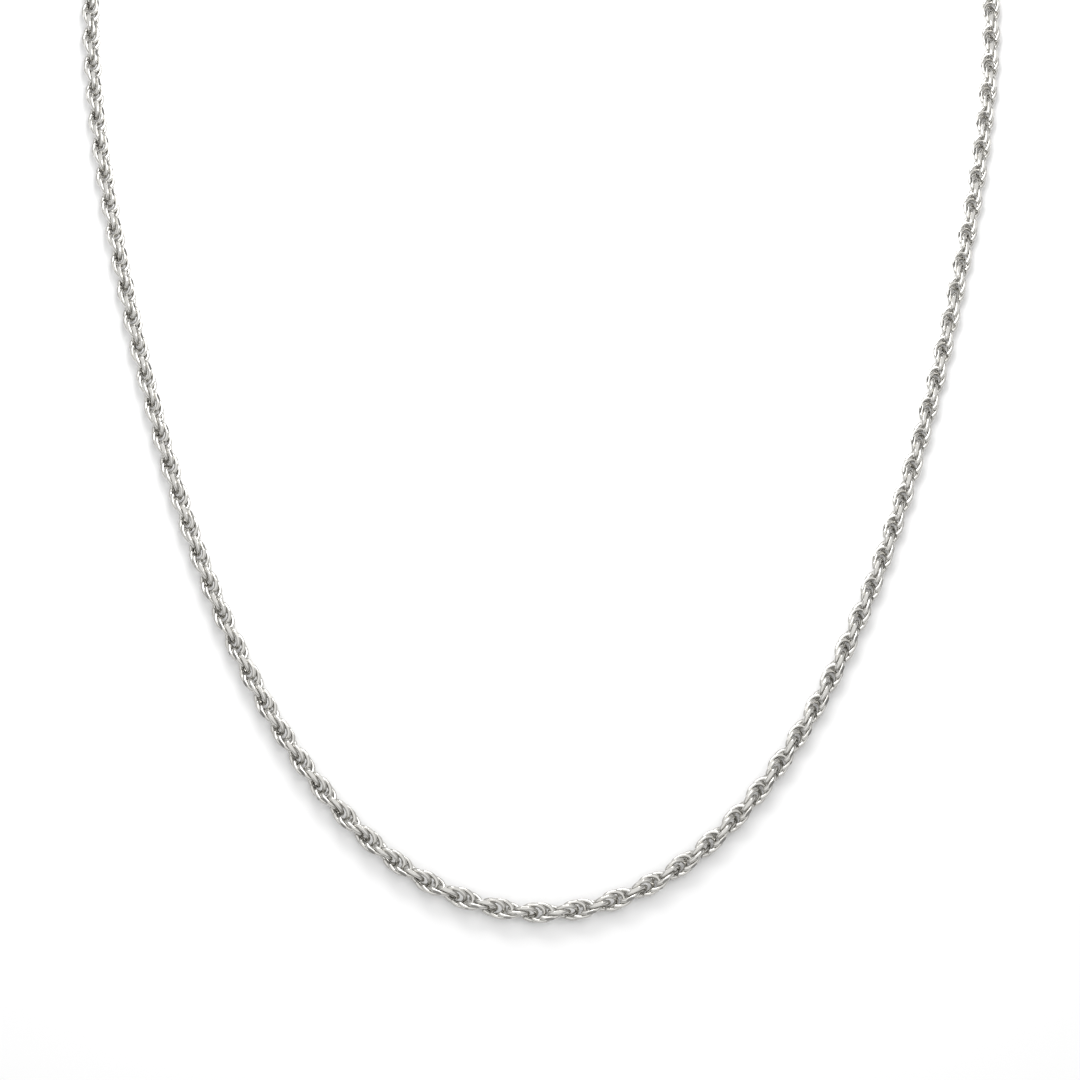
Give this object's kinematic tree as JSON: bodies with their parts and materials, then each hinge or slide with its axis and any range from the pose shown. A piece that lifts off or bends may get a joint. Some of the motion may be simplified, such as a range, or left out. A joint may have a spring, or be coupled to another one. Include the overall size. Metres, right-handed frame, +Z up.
{
  "type": "chain necklace",
  "caption": "Twisted rope chain necklace in polished silver with a lobster clasp and catch ring, laid open in a rounded U.",
  "frame": {"origin": "middle of the laid-out necklace seen from above, on the plane that it lies on", "axes": "+Y from the front of the necklace towards its two ends, +X towards the catch ring's end, +Z up off the table"},
  "size_m": [0.12, 0.1982, 0.0054],
  "materials": {
    "rope_silver": "polished sterling silver, diamond-cut facets",
    "fitting_silver": "polished sterling silver, smooth",
    "spring_steel": "plain spring steel"
  },
  "bodies": {
    "rope_front": {"rope_front": "rope_silver"},
    "rope_left_01": {"rope_left_01": "rope_silver"},
    "rope_left_02": {"rope_left_02": "rope_silver"},
    "rope_left_03": {"rope_left_03": "rope_silver"},
    "rope_left_04": {"rope_left_04": "rope_silver"},
    "rope_left_05": {"rope_left_05": "rope_silver"},
    "rope_left_06": {"rope_left_06": "rope_silver"},
    "rope_left_07": {"rope_left_07": "rope_silver"},
    "rope_left_08": {"rope_left_08": "rope_silver"},
    "rope_left_09": {"rope_left_09": "rope_silver"},
    "rope_left_10": {"rope_left_10": "rope_silver"},
    "rope_left_11": {"rope_left_11": "rope_silver"},
    "rope_left_12": {"rope_left_12": "rope_silver"},
    "rope_left_13": {"rope_left_13": "rope_silver"},
    "rope_left_14": {"rope_left_14": "rope_silver"},
    "rope_left_15": {"rope_left_15": "rope_silver"},
    "rope_left_16": {"rope_left_16": "rope_silver"},
    "rope_left_17": {"rope_left_17": "rope_silver"},
    "rope_left_18": {"rope_left_18": "rope_silver"},
    "rope_left_19": {"rope_left_19": "rope_silver"},
    "rope_left_20": {"rope_left_20": "rope_silver"},
    "rope_left_21": {"rope_left_21": "rope_silver", "left_end_loop": "fitting_silver"},
    "left_jump_ring": {"left_jump_ring": "fitting_silver"},
    "clasp": {"clasp_body": "fitting_silver", "clasp_pin": "fitting_silver", "clasp_spring": "spring_steel"},
    "clasp_lever": {"clasp_lever": "fitting_silver"},
    "rope_right_01": {"rope_right_01": "rope_silver"},
    "rope_right_02": {"rope_right_02": "rope_silver"},
    "rope_right_03": {"rope_right_03": "rope_silver"},
    "rope_right_04": {"rope_right_04": "rope_silver"},
    "rope_right_05": {"rope_right_05": "rope_silver"},
    "rope_right_06": {"rope_right_06": "rope_silver"},
    "rope_right_07": {"rope_right_07": "rope_silver"},
    "rope_right_08": {"rope_right_08": "rope_silver"},
    "rope_right_09": {"rope_right_09": "rope_silver"},
    "rope_right_10": {"rope_right_10": "rope_silver"},
    "rope_right_11": {"rope_right_11": "rope_silver"},
    "rope_right_12": {"rope_right_12": "rope_silver"},
    "rope_right_13": {"rope_right_13": "rope_silver"},
    "rope_right_14": {"rope_right_14": "rope_silver"},
    "rope_right_15": {"rope_right_15": "rope_silver"},
    "rope_right_16": {"rope_right_16": "rope_silver"},
    "rope_right_17": {"rope_right_17": "rope_silver"},
    "rope_right_18": {"rope_right_18": "rope_silver"},
    "rope_right_19": {"rope_right_19": "rope_silver"},
    "rope_right_20": {"rope_right_20": "rope_silver"},
    "rope_right_21": {"rope_right_21": "rope_silver", "right_end_loop": "fitting_silver"},
    "right_jump_ring": {"right_jump_ring": "fitting_silver"},
    "catch_ring": {"catch_ring": "fitting_silver"}
  },
  "joints": [
    {"name": "left_bend_01", "type": "hinge", "parent": "rope_front", "child": "rope_left_01", "pos_m": [-0.00497, -0.09734, 0.00125], "axis": [0.1812, 0.888, -0.4226], "range_deg": [-30, 30]},
    {"name": "left_bend_02", "type": "hinge", "parent": "rope_left_01", "child": "rope_left_02", "pos_m": [-0.01419, -0.09362, 0.00125], "axis": [0.4522, 0.7386, 0.5], "range_deg": [-30, 30]},
    {"name": "left_bend_03", "type": "hinge", "parent": "rope_left_02", "child": "rope_left_03", "pos_m": [-0.02194, -0.08734, 0.00125], "axis": [-0.5851, -0.5733, 0.5736], "range_deg": [-30, 30]},
    {"name": "left_bend_04", "type": "hinge", "parent": "rope_left_03", "child": "rope_left_04", "pos_m": [-0.02829, -0.07962, 0.00125], "axis": [-0.5793, -0.4055, -0.7071], "range_deg": [-30, 30]},
    {"name": "left_bend_05", "type": "hinge", "parent": "rope_left_04", "child": "rope_left_05", "pos_m": [-0.03352, -0.07111, 0.00125], "axis": [-0.621, -0.3381, 0.7071], "range_deg": [-30, 30]},
    {"name": "left_bend_06", "type": "hinge", "parent": "rope_left_05", "child": "rope_left_06", "pos_m": [-0.03793, -0.06213, 0.00125], "axis": [-0.6459, -0.2877, -0.7071], "range_deg": [-30, 30]},
    {"name": "left_bend_07", "type": "hinge", "parent": "rope_left_06", "child": "rope_left_07", "pos_m": [-0.04171, -0.05288, 0.00125], "axis": [0.6617, 0.2494, -0.7071], "range_deg": [-30, 30]},
    {"name": "left_bend_08", "type": "hinge", "parent": "rope_left_07", "child": "rope_left_08", "pos_m": [-0.04502, -0.04344, 0.00125], "axis": [0.6722, 0.2196, 0.7071], "range_deg": [-30, 30]},
    {"name": "left_bend_09", "type": "hinge", "parent": "rope_left_08", "child": "rope_left_09", "pos_m": [-0.04795, -0.03388, 0.00125], "axis": [0.6794, 0.1958, -0.7071], "range_deg": [-30, 30]},
    {"name": "left_bend_10", "type": "hinge", "parent": "rope_left_09", "child": "rope_left_10", "pos_m": [-0.05058, -0.02423, 0.00125], "axis": [0.6847, 0.1766, 0.7071], "range_deg": [-30, 30]},
    {"name": "left_bend_11", "type": "hinge", "parent": "rope_left_10", "child": "rope_left_11", "pos_m": [-0.05296, -0.01452, 0.00125], "axis": [-0.6886, -0.1607, 0.7071], "range_deg": [-30, 30]},
    {"name": "left_bend_12", "type": "hinge", "parent": "rope_left_11", "child": "rope_left_12", "pos_m": [-0.05511, -0.00476, 0.00125], "axis": [-0.6929, -0.141, -0.7071], "range_deg": [-30, 30]},
    {"name": "left_bend_13", "type": "hinge", "parent": "rope_left_12", "child": "rope_left_13", "pos_m": [-0.0569, 0.00508, 0.00125], "axis": [-0.6984, -0.1104, 0.7071], "range_deg": [-30, 30]},
    {"name": "left_bend_14", "type": "hinge", "parent": "rope_left_13", "child": "rope_left_14", "pos_m": [-0.05818, 0.015, 0.00125], "axis": [-0.7038, -0.0683, -0.7071], "range_deg": [-30, 30]},
    {"name": "left_bend_15", "type": "hinge", "parent": "rope_left_14", "child": "rope_left_15", "pos_m": [-0.05878, 0.02498, 0.00125], "axis": [0.707, 0.0144, -0.7071], "range_deg": [-30, 30]},
    {"name": "left_bend_16", "type": "hinge", "parent": "rope_left_15", "child": "rope_left_16", "pos_m": [-0.05853, 0.03497, 0.00125], "axis": [0.7052, -0.0516, 0.7071], "range_deg": [-30, 30]},
    {"name": "left_bend_17", "type": "hinge", "parent": "rope_left_16", "child": "rope_left_17", "pos_m": [-0.05726, 0.04489, 0.00125], "axis": [0.6952, -0.1291, -0.7071], "range_deg": [-30, 30]},
    {"name": "left_bend_18", "type": "hinge", "parent": "rope_left_17", "child": "rope_left_18", "pos_m": [-0.05483, 0.05458, 0.00125], "axis": [0.6731, -0.2166, 0.7071], "range_deg": [-30, 30]},
    {"name": "left_bend_19", "type": "hinge", "parent": "rope_left_18", "child": "rope_left_19", "pos_m": [-0.05111, 0.06385, 0.00125], "axis": [-0.6359, 0.3093, 0.7071], "range_deg": [-30, 30]},
    {"name": "left_bend_20", "type": "hinge", "parent": "rope_left_19", "child": "rope_left_20", "pos_m": [-0.04611, 0.0725, 0.00125], "axis": [-0.5858, 0.396, -0.7071], "range_deg": [-30, 30]},
    {"name": "left_bend_21", "type": "hinge", "parent": "rope_left_20", "child": "rope_left_21", "pos_m": [-0.03995, 0.08037, 0.00125], "axis": [-0.5244, 0.4744, 0.7071], "range_deg": [-30, 30]},
    {"name": "left_jump_ring_swing", "type": "hinge", "parent": "rope_left_21", "child": "left_jump_ring", "pos_m": [-0.03109, 0.08867, 0.00125], "axis": [0, 0, 1], "range_deg": [-20, 20]},
    {"name": "clasp_swing", "type": "hinge", "parent": "left_jump_ring", "child": "clasp", "pos_m": [-0.02979, 0.08975, 0.00268], "axis": [0.6419, -0.7668, 0], "range_deg": [0, 50]},
    {"name": "lever_press", "type": "hinge", "parent": "clasp", "child": "clasp_lever", "pos_m": [-0.02582, 0.09387, 0.00125], "axis": [0, 0, -1], "range_deg": [0, 22], "stiffness_Nm_per_rad": 0.01, "springref_deg": -17.19, "deforming": ["clasp_spring"]},
    {"name": "right_bend_01", "type": "hinge", "parent": "rope_front", "child": "rope_right_01", "pos_m": [0.00497, -0.09734, 0.00125], "axis": [-0.1812, 0.888, 0.4226], "range_deg": [-30, 30]},
    {"name": "right_bend_02", "type": "hinge", "parent": "rope_right_01", "child": "rope_right_02", "pos_m": [0.01419, -0.09362, 0.00125], "axis": [-0.4522, 0.7386, -0.5], "range_deg": [-30, 30]},
    {"name": "right_bend_03", "type": "hinge", "parent": "rope_right_02", "child": "rope_right_03", "pos_m": [0.02194, -0.08734, 0.00125], "axis": [0.5851, -0.5733, -0.5736], "range_deg": [-30, 30]},
    {"name": "right_bend_04", "type": "hinge", "parent": "rope_right_03", "child": "rope_right_04", "pos_m": [0.02829, -0.07962, 0.00125], "axis": [0.5793, -0.4055, 0.7071], "range_deg": [-30, 30]},
    {"name": "right_bend_05", "type": "hinge", "parent": "rope_right_04", "child": "rope_right_05", "pos_m": [0.03352, -0.07111, 0.00125], "axis": [0.621, -0.3381, -0.7071], "range_deg": [-30, 30]},
    {"name": "right_bend_06", "type": "hinge", "parent": "rope_right_05", "child": "rope_right_06", "pos_m": [0.03793, -0.06213, 0.00125], "axis": [0.6459, -0.2877, 0.7071], "range_deg": [-30, 30]},
    {"name": "right_bend_07", "type": "hinge", "parent": "rope_right_06", "child": "rope_right_07", "pos_m": [0.04171, -0.05288, 0.00125], "axis": [-0.6617, 0.2494, 0.7071], "range_deg": [-30, 30]},
    {"name": "right_bend_08", "type": "hinge", "parent": "rope_right_07", "child": "rope_right_08", "pos_m": [0.04502, -0.04344, 0.00125], "axis": [-0.6722, 0.2196, -0.7071], "range_deg": [-30, 30]},
    {"name": "right_bend_09", "type": "hinge", "parent": "rope_right_08", "child": "rope_right_09", "pos_m": [0.04795, -0.03388, 0.00125], "axis": [-0.6794, 0.1958, 0.7071], "range_deg": [-30, 30]},
    {"name": "right_bend_10", "type": "hinge", "parent": "rope_right_09", "child": "rope_right_10", "pos_m": [0.05058, -0.02423, 0.00125], "axis": [-0.6847, 0.1766, -0.7071], "range_deg": [-30, 30]},
    {"name": "right_bend_11", "type": "hinge", "parent": "rope_right_10", "child": "rope_right_11", "pos_m": [0.05296, -0.01452, 0.00125], "axis": [0.6886, -0.1607, -0.7071], "range_deg": [-30, 30]},
    {"name": "right_bend_12", "type": "hinge", "parent": "rope_right_11", "child": "rope_right_12", "pos_m": [0.05511, -0.00476, 0.00125], "axis": [0.6929, -0.141, 0.7071], "range_deg": [-30, 30]},
    {"name": "right_bend_13", "type": "hinge", "parent": "rope_right_12", "child": "rope_right_13", "pos_m": [0.0569, 0.00508, 0.00125], "axis": [0.6984, -0.1104, -0.7071], "range_deg": [-30, 30]},
    {"name": "right_bend_14", "type": "hinge", "parent": "rope_right_13", "child": "rope_right_14", "pos_m": [0.05818, 0.015, 0.00125], "axis": [0.7038, -0.0683, 0.7071], "range_deg": [-30, 30]},
    {"name": "right_bend_15", "type": "hinge", "parent": "rope_right_14", "child": "rope_right_15", "pos_m": [0.05878, 0.02498, 0.00125], "axis": [-0.707, 0.0144, 0.7071], "range_deg": [-30, 30]},
    {"name": "right_bend_16", "type": "hinge", "parent": "rope_right_15", "child": "rope_right_16", "pos_m": [0.05853, 0.03497, 0.00125], "axis": [-0.7052, -0.0516, -0.7071], "range_deg": [-30, 30]},
    {"name": "right_bend_17", "type": "hinge", "parent": "rope_right_16", "child": "rope_right_17", "pos_m": [0.05726, 0.04489, 0.00125], "axis": [-0.6952, -0.1291, 0.7071], "range_deg": [-30, 30]},
    {"name": "right_bend_18", "type": "hinge", "parent": "rope_right_17", "child": "rope_right_18", "pos_m": [0.05483, 0.05458, 0.00125], "axis": [-0.6731, -0.2166, -0.7071], "range_deg": [-30, 30]},
    {"name": "right_bend_19", "type": "hinge", "parent": "rope_right_18", "child": "rope_right_19", "pos_m": [0.05111, 0.06385, 0.00125], "axis": [0.6359, 0.3093, -0.7071], "range_deg": [-30, 30]},
    {"name": "right_bend_20", "type": "hinge", "parent": "rope_right_19", "child": "rope_right_20", "pos_m": [0.04611, 0.0725, 0.00125], "axis": [0.5858, 0.396, 0.7071], "range_deg": [-30, 30]},
    {"name": "right_bend_21", "type": "hinge", "parent": "rope_right_20", "child": "rope_right_21", "pos_m": [0.03995, 0.08037, 0.00125], "axis": [0.5244, 0.4744, -0.7071], "range_deg": [-30, 30]},
    {"name": "right_jump_ring_swing", "type": "hinge", "parent": "rope_right_21", "child": "right_jump_ring", "pos_m": [0.03109, 0.08867, 0.00125], "axis": [0, 0, 1], "range_deg": [-20, 20]},
    {"name": "catch_ring_swing", "type": "hinge", "parent": "right_jump_ring", "child": "catch_ring", "pos_m": [0.02979, 0.08975, 0.00268], "axis": [0.6419, 0.7668, 0], "range_deg": [0, 50]}
  ]
}
